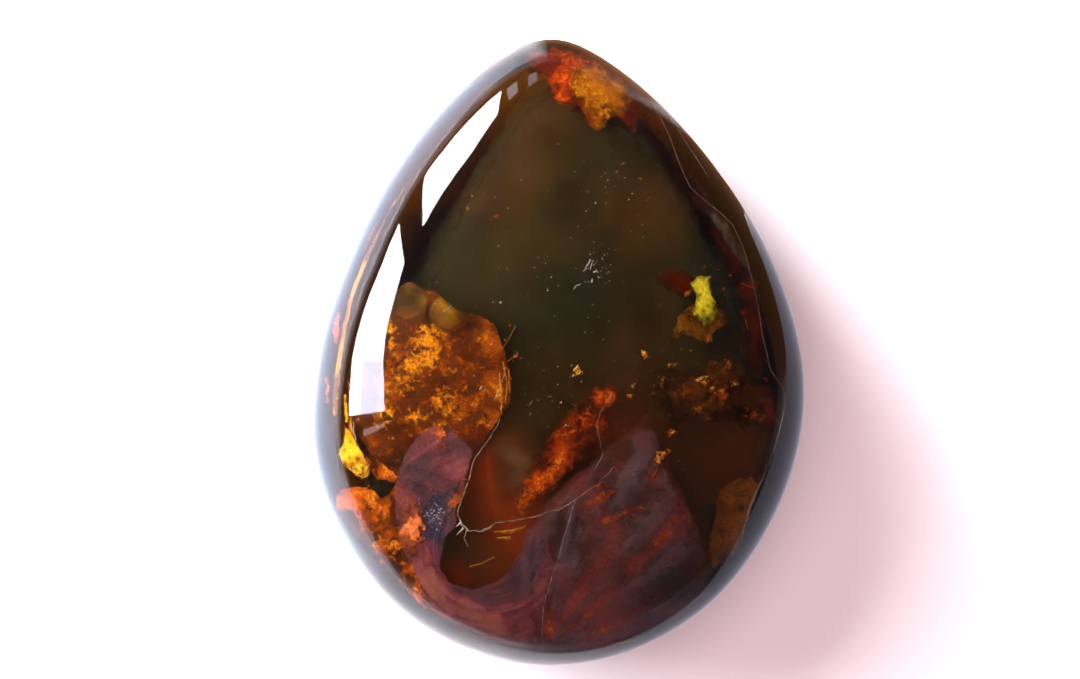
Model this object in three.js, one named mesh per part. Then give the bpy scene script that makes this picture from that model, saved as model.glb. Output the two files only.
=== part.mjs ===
// A polished amber palm stone: one teardrop pebble of clear, dark resin, lying on its flattened underside.
// Millimetres, +Z up, +Y towards the pointed end. The origin is on the resting plane, under the middle of the outline.

import * as THREE from "three";
import { mergeVertices } from "three/addons/utils/BufferGeometryUtils.js";

// Driving dimensions
const STONE_LENGTH = 75; // from the round end to the point
const STONE_WIDTH = 59;
const CROWN_HEIGHT = 16.5; // from the girth, where the stone is widest, up to the top of the dome
const BASE_DEPTH = 12.5; // from the girth down to the flat it rests on
const KEEL_DEPTH = 16; // how deep the underside would be if the flat had not been ground off
const FLAT_BLEND = 2.4; // height over which the ground flat rolls into the underside

// How full the shoulders are: 2 is an ellipse, more is squarer.
const SHOULDER_FULLNESS = 2.42;
const SHOULDER_WEAR = 0.3; // how much rounder the stone is towards WORN_SIDE
const WORN_SIDE = THREE.MathUtils.degToRad(190);

// The rays that shape the stone leave its axis here, in the middle of the round end.
const AXIS_Y = -8;

const GRID_STEPS = 26; // faces along each edge of the cube that is blown up into the stone
const RIM_SAMPLES = 720;

// Outline seen from above, anticlockwise from the point. The stone is a little fuller on its left.
const OUTLINE = [
  [0.3, 37.5],
  [-4.4, 36.6],
  [-10, 32.9],
  [-18.3, 23.4],
  [-24.7, 11.3],
  [-28.6, -1.3],
  [-28.4, -15],
  [-19.5, -30.1],
  [-6.5, -36.8],
  [6.5, -36.4],
  [18.6, -29.7],
  [26.8, -17.6],
  [29.5, -4],
  [25.6, 11],
  [16, 25.7],
  [6.9, 34.2],
];

// Polar form of the outline about the stone's axis: the rim's distance in any direction.
function makeRim() {
  const corners = OUTLINE.map(([x, y]) => new THREE.Vector3(x, y - AXIS_Y, 0));
  const curve = new THREE.CatmullRomCurve3(corners, true, "centripetal");
  const rim = curve.getSpacedPoints(RIM_SAMPLES - 1).map((p) => ({
    azimuth: Math.atan2(p.y, p.x),
    radius: Math.hypot(p.x, p.y),
  }));
  rim.sort((a, b) => a.azimuth - b.azimuth);
  return rim;
}

function rimRadius(rim, azimuth) {
  const found = rim.findIndex((p) => p.azimuth > azimuth);
  const next = rim[Math.max(found, 0)];
  const last = rim.at(found > 0 ? found - 1 : -1);
  const turn = 2 * Math.PI;
  const span = (next.azimuth - last.azimuth + turn) % turn;
  const step = (azimuth - last.azimuth + turn) % turn;
  return THREE.MathUtils.lerp(last.radius, next.radius, span > 0 ? step / span : 0);
}

// Grinds the underside flat at BASE_DEPTH, with a soft roll instead of an edge.
function grindFlat(z) {
  const rollTop = -BASE_DEPTH + FLAT_BLEND / 2;
  const rollEnd = -BASE_DEPTH - FLAT_BLEND / 2;
  if (z >= rollTop) return z;
  if (z <= rollEnd) return -BASE_DEPTH;
  return -BASE_DEPTH + (z - rollEnd) ** 2 / (2 * FLAT_BLEND);
}

// Carries a point of the unit sphere to the stone's surface. The girth is at z = 0 here.
function surfacePoint(direction, rim) {
  const azimuth = Math.atan2(direction.y, direction.x);
  const out = Math.hypot(direction.x, direction.y);
  const worn = Math.max(0, Math.cos(azimuth - WORN_SIDE)) ** 2;
  const fullness = SHOULDER_FULLNESS - SHOULDER_WEAR * worn;
  const swell = (out ** fullness + Math.abs(direction.z) ** fullness) ** (-1 / fullness);
  const reach = rimRadius(rim, azimuth) * out * swell;
  const half = direction.z > 0 ? CROWN_HEIGHT : KEEL_DEPTH;
  return new THREE.Vector3(
    reach * Math.cos(azimuth),
    reach * Math.sin(azimuth) + AXIS_Y,
    grindFlat(half * direction.z * swell),
  );
}

function makeStoneGeometry() {
  const cube = new THREE.BoxGeometry(2, 2, 2, GRID_STEPS, GRID_STEPS, GRID_STEPS);
  cube.deleteAttribute("normal");
  cube.deleteAttribute("uv");
  const geometry = mergeVertices(cube);
  const rim = makeRim();
  const position = geometry.getAttribute("position");
  const point = new THREE.Vector3();
  for (let i = 0; i < position.count; i += 1) {
    point.fromBufferAttribute(position, i);
    // Equal angles across each cube face keep the facets of one size.
    point.set(...point.toArray().map((c) => Math.tan((c * Math.PI) / 4))).normalize();
    const placed = surfacePoint(point, rim);
    position.setXYZ(i, placed.x, placed.y, placed.z);
  }
  return fitToSize(geometry);
}

// Brings the stone to its exact length and width, and sets it down on the resting plane.
function fitToSize(geometry) {
  geometry.computeBoundingBox();
  const size = geometry.boundingBox.getSize(new THREE.Vector3());
  const centre = geometry.boundingBox.getCenter(new THREE.Vector3());
  geometry.translate(-centre.x, -centre.y, BASE_DEPTH);
  geometry.scale(STONE_WIDTH / size.x, STONE_LENGTH / size.y, 1);
  geometry.computeVertexNormals();
  return geometry;
}

// Polished fossil resin: glassy, dark brown with an orange heart.
const amber = new THREE.MeshStandardMaterial({ color: 0x5a2a0c, roughness: 0.04, metalness: 0 });

const stone = new THREE.Mesh(makeStoneGeometry(), amber);
stone.name = "amber_stone";

const part = new THREE.Group();
part.add(stone);

export default part;
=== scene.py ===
# Amber palm stone: a clear, dark resin body with rust flakes, fissures and grains sealed in it.
# Metres, +Z up, +Y towards the pointed end. Sizes and places in the dictionaries are in millimetres.
import math
import random
import bpy
import bmesh
from mathutils import Matrix, Vector, noise
from mathutils.bvhtree import BVHTree


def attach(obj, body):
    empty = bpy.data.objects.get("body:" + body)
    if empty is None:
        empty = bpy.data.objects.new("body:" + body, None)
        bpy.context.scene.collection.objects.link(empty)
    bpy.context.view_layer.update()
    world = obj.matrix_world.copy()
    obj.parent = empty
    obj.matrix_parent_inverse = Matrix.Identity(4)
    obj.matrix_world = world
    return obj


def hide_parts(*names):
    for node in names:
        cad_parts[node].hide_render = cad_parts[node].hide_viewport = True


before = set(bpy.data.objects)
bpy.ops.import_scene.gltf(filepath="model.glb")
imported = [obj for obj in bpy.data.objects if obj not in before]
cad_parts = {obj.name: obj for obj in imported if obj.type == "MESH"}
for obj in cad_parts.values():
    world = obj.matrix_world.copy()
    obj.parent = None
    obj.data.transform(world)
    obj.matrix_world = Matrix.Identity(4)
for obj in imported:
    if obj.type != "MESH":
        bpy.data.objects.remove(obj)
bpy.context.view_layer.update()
mm = 0.001
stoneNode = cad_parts["amber_stone"]
scene = bpy.context.scene
seed = 20
dice = random.Random(seed)
noise.seed_set(seed)  # the waver of the cracks would otherwise change from run to run

# Camera: straight above, the stone's point upwards
camera = dict(
    pictureWidth=1080,  # pixels
    pixelsPerMm=8.353,  # at the girth of the stone
    aimedAt=(-2.12, 1.41),  # the middle of the picture on the stone
    girth=12.5,
    distance=520.0,  # above the girth
    sensor=36.0,
)
cameraData = bpy.data.cameras.new("camera")
cameraData.sensor_width = camera["sensor"]
cameraData.lens = camera["sensor"] * camera["distance"] * camera["pixelsPerMm"] / camera["pictureWidth"]
cameraData.clip_start = 0.01
cameraObject = bpy.data.objects.new("camera", cameraData)
cameraObject.location = Vector((*camera["aimedAt"], camera["girth"] + camera["distance"])) * mm
scene.collection.objects.link(cameraObject)
scene.camera = cameraObject
print("camera set")


def hexColour(code):
    channels = [int(code[i:i + 2], 16) / 255 for i in (1, 3, 5)]
    linear = [c / 12.92 if c <= 0.04045 else ((c + 0.055) / 1.055) ** 2.4 for c in channels]
    return (*linear, 1.0)


# Adds a node with its settings and returns one of its outputs. An input is a value or the socket it is
# linked from, and stops fill a colour ramp.
def addNode(tree, kind, inputs=None, stops=None, out=0, **settings):
    node = tree.nodes.new("ShaderNode" + kind)
    for name, value in settings.items():
        setattr(node, name, value)
    for name, value in (inputs or {}).items():
        if isinstance(value, bpy.types.NodeSocket):
            tree.links.new(value, node.inputs[name])
        else:
            node.inputs[name].default_value = value
    for i, (place, code) in enumerate(stops or []):
        elements = node.color_ramp.elements
        stop = elements[i] if i < 2 else elements.new(place)
        stop.position = place
        stop.color = hexColour(code)
    return node.outputs[out] if node.outputs else None


def newMaterial(name):
    material = bpy.data.materials.new(name)
    material.use_nodes = True
    material.node_tree.nodes.clear()
    return material, material.node_tree


def skyDirection(around, up):
    around, up = math.radians(around), math.radians(up)
    return Vector((math.cos(up) * math.cos(around), math.cos(up) * math.sin(around), math.sin(up)))


# Window at the left: each pane is a brightness, a colour and its corners, in degrees round from +X and
# degrees up
window = dict(
    distance=900.0,
    panes=[
        (30.0, "#FBFFFF", [(172, 6.3), (172, 31), (156.5, 24.5), (152, 4)]),
        (30.0, "#FBFFFF", [(181, 9), (181, 19), (172, 16.5), (172, 6.3)]),
        (22.0, "#DCE4FF", [(181, 19), (181, 35), (172, 31), (172, 16.5)]),
        (30.0, "#F6FFFF", [(143.5, 3), (150, 26.5), (134, 27.5), (124, 22), (121, 6.5)]),
        (4.0, "#F4F0FF", [(119, 9), (119, 20), (114, 19), (114, 9)]),
        (2.5, "#F4F0FF", [(108, 9), (108, 20), (102, 18), (102, 9)]),
        (3.0, "#FFFFFF", [(184.5, 21), (183.5, 35), (184.5, 35), (186.5, 21)]),
    ],
)


# A glowing sheet that the polish mirrors, not seen by the camera or through the resin. Where its solid layer
# is below one, what is behind shows through.
def makeGlow(name, bm, colour, brightness):
    mesh = bpy.data.meshes.new(name)
    bm.to_mesh(mesh)
    bm.free()
    sheet = bpy.data.objects.new(name, mesh)
    scene.collection.objects.link(sheet)
    sheet.visible_camera = False
    sheet.visible_transmission = False
    finish, tree = newMaterial(name)
    solid = addNode(tree, "Attribute", attribute_name="solid", out="Fac")
    clear = addNode(tree, "BsdfTransparent")
    lit = addNode(tree, "Emission", {"Color": hexColour(colour), "Strength": brightness})
    mixed = addNode(tree, "MixShader", {0: solid, 1: clear, 2: lit})
    addNode(tree, "OutputMaterial", {"Surface": mixed})
    mesh.materials.append(finish)
    return sheet


for brightness, colour, corners in window["panes"]:
    bm = bmesh.new()
    solid = bm.verts.layers.float.new("solid")
    pane = bm.faces.new([bm.verts.new(skyDirection(*corner) * window["distance"] * mm) for corner in corners])
    for vert in pane.verts:
        vert[solid] = 1.0
    makeGlow("window_pane", bm, colour, brightness)

# Cards on the floor that only the polish sees: pale at the left, brown behind the point, grey round the right
# and dark further off. Each is a brightness, a colour and its stations: degrees round from +X, near and far
# edge, and how solid.
floorCards = dict(height=1.0, step=0.02, middle=(0, -8), cards=[
    (5.0, "#DCE6FF", [
        (98, 25, 140, 0.0), (112, 25, 140, 1.0), (135, 25, 140, 1.0), (160, 25, 140, 1.0),
        (185, 25, 140, 1.0), (200, 25, 140, 0.65), (222, 25, 140, 0.22), (245, 25, 140, 0.0)]),
    (0.55, "#FFB684", [
        (106, 25, 400, 0.0), (92, 25, 400, 1.0), (78, 25, 400, 1.0), (62, 25, 400, 0.0)]),
    (0.28, "#FFB27B", [
        (76, 25, 400, 0.0), (62, 25, 400, 1.0), (50, 31, 400, 1.0), (44, 42, 400, 1.0), (38, 50, 400, 1.0),
        (25, 58, 400, 1.0), (12, 74, 400, 1.0), (0, 110, 400, 0.6), (-12, 150, 400, 0.0)]),
    (0.66, "#E9E4FF", [
        (54, 25, 29, 0.0), (46, 25, 38, 0.8), (38, 25, 50, 0.82), (25, 25, 58, 0.9), (12, 25, 74, 0.95),
        (0, 25, 110, 1.0), (-15, 25, 150, 1.0), (-30, 25, 140, 1.0), (-50, 25, 66, 0.95),
        (-60, 25, 60, 0.85), (-75, 25, 58, 0.68), (-90, 25, 60, 0.35), (-104, 25, 66, 0.0)]),
    (0.15, "#E9E4FF", [
        (-6, 130, 400, 0.0), (-18, 150, 400, 1.0), (-30, 140, 400, 1.0), (-50, 66, 400, 1.0),
        (-60, 60, 400, 1.0), (-75, 58, 400, 1.0), (-84, 58, 400, 0.92), (-92, 60, 400, 0.7),
        (-100, 66, 400, 0.35), (-112, 80, 400, 0.0)]),
])
for i, (brightness, colour, stations) in enumerate(floorCards["cards"]):
    bm = bmesh.new()
    solid = bm.verts.layers.float.new("solid")
    middle = Vector((*floorCards["middle"], floorCards["height"] + floorCards["step"] * i))
    last = None
    for around, near, far, solidity in stations:
        pair = [bm.verts.new((middle + skyDirection(around, 0) * away) * mm) for away in (near, far)]
        for vert in pair:
            vert[solid] = solidity
        if last:
            bm.faces.new([last[0], last[1], pair[1], pair[0]])
        last = pair
    card = makeGlow("floor_card", bm, colour, brightness)
    card.visible_diffuse = False
    card.visible_shadow = False
    card.active_material.cycles.emission_sampling = "NONE"

# Soft boxes light the floor and the inside, and leave no mark on the polish
softBoxes = [
    dict(name="key_box", place=(-170, 120, 150), aimedAt=(-20, 0, 0), size=200.0, brightness=17.0,
         colour="#FAFBFF"),
    dict(name="fill_box", place=(60, -60, 600), aimedAt=(10, 0, 0), size=700.0, brightness=2.7,
         colour="#FFDADC"),
]
for spec in softBoxes:
    boxData = bpy.data.lights.new(spec["name"], "AREA")
    boxData.shape = "SQUARE"
    boxData.size = spec["size"] * mm
    boxData.energy = spec["brightness"] * math.pi * boxData.size ** 2
    boxData.color = hexColour(spec["colour"])[:3]
    box = bpy.data.objects.new(spec["name"], boxData)
    box.location = Vector(spec["place"]) * mm
    away = Vector(spec["place"]) - Vector(spec["aimedAt"])
    box.rotation_euler = away.to_track_quat("Z", "Y").to_euler()
    box.visible_glossy = False
    scene.collection.objects.link(box)

# Room: paler at the horizon, dim overhead
room = dict(horizon="#4E4A50", shoulder="#3E3A3E", overhead="#2C2B27")
world = bpy.data.worlds.new("room")
scene.world = world
world.use_nodes = True
tree = world.node_tree
tree.nodes.clear()
direction = addNode(tree, "TexCoord", out="Generated")
height = addNode(tree, "SeparateXYZ", {"Vector": direction}, out="Z")
glow = addNode(tree, "ValToRGB", {"Fac": height},
               stops=[(0.0, room["horizon"]), (1.0, room["overhead"]), (0.4, room["shoulder"])])
sky = addNode(tree, "Background", {"Color": glow, "Strength": 1.0})
addNode(tree, "OutputWorld", {"Surface": sky})

# Floor: matt white board that greys away from the stone
board = dict(
    size=3000.0, white="#F3F1F6", grey="#8E8E94", pool=(205.0, 112.0), middle=(-115.0, -8.0), fade=0.2)
bm = bmesh.new()
bmesh.ops.create_grid(bm, x_segments=2, y_segments=2, size=board["size"] * mm / 2)
floorMesh = bpy.data.meshes.new("floor")
bm.to_mesh(floorMesh)
bm.free()
floor = bpy.data.objects.new("floor", floorMesh)
scene.collection.objects.link(floor)
boardFinish, tree = newMaterial("matt white board")
place = addNode(tree, "TexCoord", out="Object")
(poolX, poolY), (midX, midY) = board["pool"], board["middle"]
pool = addNode(tree, "Mapping", {
    "Vector": place, "Location": (-midX / poolX, -midY / poolY, 0),
    "Scale": (1 / (poolX * mm), 1 / (poolY * mm), 0)})
reach = addNode(tree, "VectorMath", {0: pool}, operation="LENGTH", out="Value")
half = addNode(tree, "Math", {0: reach, 1: 0.5}, operation="MULTIPLY")
white = addNode(tree, "ValToRGB", {"Fac": half},
                stops=[(0.5, board["white"]), (0.5 + board["fade"], board["grey"])])
paper = addNode(tree, "BsdfDiffuse", {"Color": white})
addNode(tree, "OutputMaterial", {"Surface": paper})
floorMesh.materials.append(boardFinish)

scene.view_settings.view_transform = "Standard"
scene.cycles.max_bounces = 9
scene.cycles.diffuse_bounces = 2
scene.cycles.glossy_bounces = 3
scene.cycles.transmission_bounces = 7
scene.cycles.transparent_max_bounces = 16
scene.cycles.use_denoising = True
print("window, soft boxes, room and floor set")


# Amber is a fossil resin, hand polished: glassy, gold where it is thin and deep brown where it is thick
amber = dict(
    ior=1.54,
    roughness=0.03,
    tint="#FFFAF2",
    absorbed=(0.10, 0.155, 0.29),  # red, green and blue, per millimetre
    polishWave=7.0,  # from one soft hollow of the polish to the next
    polishDepth=0.005,
)
amberFinish, tree = newMaterial("polished amber")
place = addNode(tree, "TexCoord", out="Object")
wave = addNode(tree, "TexNoise", {"Vector": place, "Scale": 1 / (amber["polishWave"] * mm), "Detail": 1.0})
polish = addNode(tree, "Bump", {"Height": wave, "Distance": amber["polishDepth"] * mm})
resin = addNode(tree, "BsdfPrincipled", {
    "Base Color": hexColour(amber["tint"]), "Roughness": amber["roughness"], "IOR": amber["ior"],
    "Transmission Weight": 1.0, "Normal": polish})
strongest = max(amber["absorbed"])
depthColour = addNode(tree, "VolumeAbsorption", {
    "Color": (*[1 - a / strongest for a in amber["absorbed"]], 1.0), "Density": strongest / mm})
addNode(tree, "OutputMaterial", {"Surface": resin, "Volume": depthColour})


def makePiece(name, bm, finish, thick=None):
    mesh = bpy.data.meshes.new(name)
    bm.to_mesh(mesh)
    bm.free()
    mesh.materials.append(finish)
    piece = bpy.data.objects.new(name, mesh)
    scene.collection.objects.link(piece)
    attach(piece, "root")
    if thick:
        body = piece.modifiers.new("body", "SOLIDIFY")
        body.thickness = thick * mm
        body.offset = -1
    print(name, "made")
    return piece


# The clear body: the stone's own shape with its facets rounded off
bm = bmesh.new()
bm.from_mesh(stoneNode.data)
bmesh.ops.remove_doubles(bm, verts=bm.verts, dist=0.001 * mm)
bmesh.ops.join_triangles(bm, faces=bm.faces, angle_face_threshold=0.7, angle_shape_threshold=1.2)
for face in bm.faces:
    face.smooth = True
skin = BVHTree.FromBMesh(bm)
clearBody = makePiece("clear_body", bm, amberFinish)
rounding = clearBody.modifiers.new("rounding", "SUBSURF")
rounding.levels = rounding.render_levels = 1
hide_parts("amber_stone")


# A point sealed under the dome at a depth
def underDome(x, y, depth):
    hit = skin.ray_cast(Vector((x * mm, y * mm, 1)), Vector((0, 0, -1)))[0]
    return Vector((x * mm, y * mm, hit.z - depth * mm))


# A point sealed behind the flank: x is degrees round from +X and y is the height
def behindFlank(x, y, depth):
    out = skyDirection(x, 0)
    hit = skin.ray_cast(Vector((0, 0, y * mm)), out)[0]
    return hit - out * depth * mm


def fromLine(x, y, ax, ay, bx, by):
    along = ((x - ax) * (bx - ax) + (y - ay) * (by - ay)) / max((bx - ax) ** 2 + (by - ay) ** 2, 1e-9)
    along = min(max(along, 0), 1)
    return math.hypot(x - ax - along * (bx - ax), y - ay - along * (by - ay))


# How far inside an outline a point lies, below zero outside it
def insideBy(x, y, outline):
    inside = False
    nearest = math.inf
    for (ax, ay), (bx, by) in zip(outline, outline[1:] + outline[:1]):
        if (ay > y) != (by > y) and x < ax + (y - ay) * (bx - ax) / (by - ay):
            inside = not inside
        nearest = min(nearest, fromLine(x, y, ax, ay, bx, by))
    return nearest if inside else -nearest


# A soft tone from listed marks: (x, y, reach, strength), or (x, y, x2, y2, reach, strength) for
# a stroke
def toneAt(x, y, marks):
    tone = 0.0
    for *ends, reach, strength in marks:
        off = fromLine(x, y, *(ends + ends)[:4])
        tone = max(tone, strength * math.exp(-(off / reach) ** 2))
    return tone


# Flow: how far a point lies across and along the strands of a veil, which run round a pole or fan out from it
def flowAt(x, y, flow):
    x, y = x - flow["pole"][0], y - flow["pole"][1]
    turn = (math.atan2(y, x) - math.radians(flow["seam"])) % (2 * math.pi) * flow["arc"]
    out = math.hypot(x, y)
    return (out, turn) if flow["round"] else (turn, out)


# Cuts a ragged sheet out of a grid for each outline and lays it in the stone. The edge layer holds how far a
# point is inside the outline, the fold layer how high its fold stands, and each tone is a layer of its own.
def makeFilm(name, spec, finish, lay=underDome):
    bm = bmesh.new()
    edge, fold = bm.verts.layers.float.new("edge"), bm.verts.layers.float.new("fold")
    tones = {tone: bm.verts.layers.float.new(tone) for tone in spec["tones"]}
    cell, flow = spec["cell"], spec.get("flow")
    raggedBy, raggedSize = spec["ragged"]
    waveHeight, waveSize = spec["wave"]
    strands = bm.loops.layers.uv.new("strands")
    for outline in spec["outlines"]:
        xs, ys = [p[0] for p in outline], [p[1] for p in outline]
        wide, tall = max(xs) - min(xs) + 2 * cell, max(ys) - min(ys) + 2 * cell
        middle = Vector(((max(xs) + min(xs)) / 2, (max(ys) + min(ys)) / 2, 0))
        grid = bmesh.ops.create_grid(
            bm, x_segments=math.ceil(wide / cell), y_segments=math.ceil(tall / cell), size=0.5,
            matrix=Matrix.Translation(middle) @ Matrix.Diagonal((wide, tall, 1, 1)))["verts"]
        for vert in grid:
            x, y, _ = vert.co
            vert[edge] = insideBy(x, y, outline)
            vert[edge] += noise.fractal(Vector((x, y, 7)) / raggedSize, 0.7, 2.2, 4) * raggedBy
        bmesh.ops.delete(bm, geom=[vert for vert in grid if vert[edge] < 0], context="VERTS")
        kept = [vert for vert in grid if vert.is_valid and vert.link_faces]
        rim = [vert for vert in kept if vert.is_boundary]
        for _ in range(3):
            bmesh.ops.smooth_vert(bm, verts=rim, factor=0.5, use_axis_x=True, use_axis_y=True)
        for vert in kept:
            x, y, _ = vert.co
            for tone, layer in tones.items():
                vert[layer] = toneAt(x, y, spec["tones"][tone])
            lift = noise.fractal(Vector((x, y, 3)) / waveSize, 1.0, 2.0, 3) * waveHeight
            if flow:
                across, along = flowAt(x, y, flow)
                drape = Vector((across / flow["foldWidth"], along / flow["foldLength"], 5))
                vert[fold] = 0.5 + noise.fractal(drape, 0.9, 2.1, 3) * 0.7
                lift += (vert[fold] - 0.5) * flow["foldHeight"]
                for loop in vert.link_loops:
                    loop[strands].uv = (across, along)
            vert.co = lay(x, y, spec["depth"] - lift)
    bmesh.ops.delete(bm, geom=[vert for vert in bm.verts if not vert.link_faces], context="VERTS")
    for face in bm.faces:
        face.smooth = True
    return makePiece(name, bm, finish, spec["thick"])


# Crust: oxidised resin, smooth and see-through brown where it is thin and clotted into bright crumbs where it
# is thick. Glow lights the smooth part, spark brings the crumbs out, and stain darkens it.
def crustFinish(name, smooth, crumbs, clot, stain="#000000", crumbly=0.0, body=0.9, fade=0.5, mottle=1.0):
    grain = 0.35  # how much of the crumbs shows in the smooth part
    contrast = 0.2 * mottle
    softness = mottle * 0.06
    finish, tree = newMaterial(name)
    place = addNode(tree, "TexCoord", out="Object")
    glow, spark, stained, edge = [
        addNode(tree, "Attribute", attribute_name=layer, out="Fac")
        for layer in ("glow", "spark", "stain", "edge")]
    cloud = addNode(tree, "TexNoise", {
        "Vector": place, "Scale": 1 / (clot * 3.2 * mm), "Detail": grain * 14, "Distortion": grain})
    crumb = addNode(tree, "TexNoise", {
        "Vector": place, "Scale": 1 / (clot * mm), "Detail": 5.0, "Roughness": 0.68, "Distortion": 0.7})
    pore = addNode(tree, "TexNoise", {
        "Vector": place, "Scale": 1 / (clot * 0.4 * mm), "Detail": 2.0, "Roughness": 0.6})
    blended = addNode(tree, "Mix", {"Factor": grain, 2: cloud, 3: crumb})
    mottled = addNode(tree, "MapRange", {
        "Value": blended, "From Min": 0.3, "From Max": 0.7,
        "To Min": 0.5 - contrast, "To Max": 0.5 + contrast})
    warmth = addNode(tree, "Math", {0: glow, 1: 0.5, 2: mottled}, operation="MULTIPLY_ADD")
    base = addNode(tree, "ValToRGB", {"Fac": warmth}, stops=[
        (0.38, smooth[0]), (0.95, smooth[2]), (0.58, smooth[1])])
    clotted = addNode(tree, "Math", {0: spark, 1: 0.34, 2: crumb}, operation="MULTIPLY_ADD")
    solid = addNode(tree, "MapRange", {
        "Value": clotted, "From Min": 0.65 - crumbly - softness, "From Max": 0.71 - crumbly + softness},
        interpolation_type="SMOOTHSTEP")
    pitted = addNode(tree, "MapRange", {
        "Value": pore, "From Min": 0.34, "From Max": 0.43, "To Min": 0.45})
    crisp = addNode(tree, "Math", {0: solid, 1: pitted}, operation="MULTIPLY")
    bright = addNode(tree, "ValToRGB", {"Fac": pore}, stops=[
        (0.42, crumbs[0]), (0.66, crumbs[1])])
    mixed = addNode(tree, "Mix", {"Factor": crisp, 6: base, 7: bright}, data_type="RGBA", out=2)
    colour = addNode(tree, "Mix", {
        "Factor": stained, 6: mixed, 7: hexColour(stain)}, data_type="RGBA", out=2)
    frayed = addNode(tree, "Math", {0: crumb, 1: fade, 2: edge}, operation="MULTIPLY_ADD")
    rim = addNode(tree, "MapRange", {
        "Value": frayed, "From Min": fade * 0.45, "From Max": fade * 1.4},
        interpolation_type="SMOOTHSTEP")
    thickest = addNode(tree, "Math", {0: crisp, 1: warmth}, operation="MAXIMUM")
    density = addNode(tree, "MapRange", {
        "Value": thickest, "From Min": 0.35, "From Max": 0.8, "To Min": body * 0.5, "To Max": body})
    seen = addNode(tree, "Math", {0: density, 1: rim}, operation="MULTIPLY")
    lumps = addNode(tree, "Bump", {"Height": pore, "Distance": clot * 0.15 * mm})
    shader = addNode(tree, "BsdfPrincipled", {
        "Base Color": colour, "Roughness": 0.55, "Specular IOR Level": 0.1, "Alpha": seen, "Normal": lumps})
    addNode(tree, "OutputMaterial", {"Surface": shader})
    return finish


# Cloud: fine bubbles in clear resin, a soft haze with no edge. Glow lights it and stain tints it.
def cloudFinish(name, haze, stain, size, body, fade):
    finish, tree = newMaterial(name)
    place = addNode(tree, "TexCoord", out="Object")
    glow, stained, edge = [
        addNode(tree, "Attribute", attribute_name=layer, out="Fac") for layer in ("glow", "stain", "edge")]
    drift = addNode(tree, "TexNoise", {"Vector": place, "Scale": 1 / (size * mm), "Detail": 1.0})
    warmth = addNode(tree, "Math", {0: glow, 1: 0.5, 2: drift}, operation="MULTIPLY_ADD")
    base = addNode(tree, "ValToRGB", {"Fac": warmth}, stops=[
        (0.38, haze[0]), (0.95, haze[2]), (0.58, haze[1])])
    colour = addNode(tree, "Mix", {
        "Factor": stained, 6: base, 7: hexColour(stain)}, data_type="RGBA", out=2)
    rim = addNode(tree, "MapRange", {
        "Value": edge, "From Min": 0.0, "From Max": fade}, interpolation_type="SMOOTHSTEP")
    density = addNode(tree, "MapRange", {
        "Value": warmth, "From Min": 0.35, "From Max": 0.8, "To Min": body[0], "To Max": body[1]})
    seen = addNode(tree, "Math", {0: density, 1: rim}, operation="MULTIPLY")
    shader = addNode(tree, "BsdfPrincipled", {
        "Base Color": colour, "Roughness": 0.55, "Specular IOR Level": 0.1, "Alpha": seen})
    addNode(tree, "OutputMaterial", {"Surface": shader})
    return finish


# Veil: a painted reflection, the purple sheen with folds that the polish shows, laid in the resin as a milky
# violet film and drawn out along its strands and folds
def reflectionVeilFinish(name, colours, strandWidth, strandLength, streaky, folded, body, fade):
    finish, tree = newMaterial(name)
    place = addNode(tree, "TexCoord", out="Object")
    strands = addNode(tree, "UVMap", uv_map="strands")
    drawn = addNode(tree, "Mapping", {
        "Vector": strands, "Scale": (1 / strandWidth, 1 / strandLength, 1)})
    streak = addNode(tree, "TexNoise", {
        "Vector": drawn, "Scale": 1.0, "Detail": 5.0, "Roughness": 0.6, "Distortion": 0.3})
    cloud = addNode(tree, "TexNoise", {
        "Vector": place, "Scale": 1 / (3.0 * mm), "Detail": 4.0, "Distortion": 0.8})
    warm, cool, clear, edge, fold = [
        addNode(tree, "Attribute", attribute_name=layer, out="Fac")
        for layer in ("warm", "cool", "clear", "edge", "fold")]
    clouded = addNode(tree, "Math", {0: cloud, 1: 1.3}, operation="MULTIPLY")
    streaked = addNode(tree, "Math", {
        0: streak, 1: streaky, 2: clouded}, operation="MULTIPLY_ADD")
    drift = addNode(tree, "Math", {0: fold, 1: folded, 2: streaked}, operation="MULTIPLY_ADD")
    usual = (1.3 + streaky + folded) / 2
    drawnOut = addNode(tree, "MapRange", {
        "Value": drift, "From Min": usual - 0.55, "From Max": usual + 0.55})
    warmed = addNode(tree, "Math", {0: warm, 1: 0.4, 2: drawnOut}, operation="MULTIPLY_ADD")
    tone = addNode(tree, "Math", {0: cool, 1: -0.4, 2: warmed}, operation="MULTIPLY_ADD")
    colour = addNode(tree, "ValToRGB", {"Fac": tone}, stops=[
        (0.1, colours[0]), (0.95, colours[3]), (0.4, colours[1]), (0.65, colours[2])])
    rim = addNode(tree, "MapRange", {
        "Value": edge, "From Min": 0.0, "From Max": fade}, interpolation_type="SMOOTHSTEP")
    density = addNode(tree, "MapRange", {
        "Value": warmed, "From Min": 0.2, "From Max": 0.8, "To Min": body[0], "To Max": body[1]})
    closed = addNode(tree, "Math", {0: rim, 1: clear}, operation="SUBTRACT", use_clamp=True)
    seen = addNode(tree, "Math", {0: density, 1: closed}, operation="MULTIPLY")
    shader = addNode(tree, "BsdfPrincipled", {
        "Base Color": colour, "Roughness": 0.4, "Specular IOR Level": 0.15, "Alpha": seen})
    addNode(tree, "OutputMaterial", {"Surface": shader})
    return finish


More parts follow.
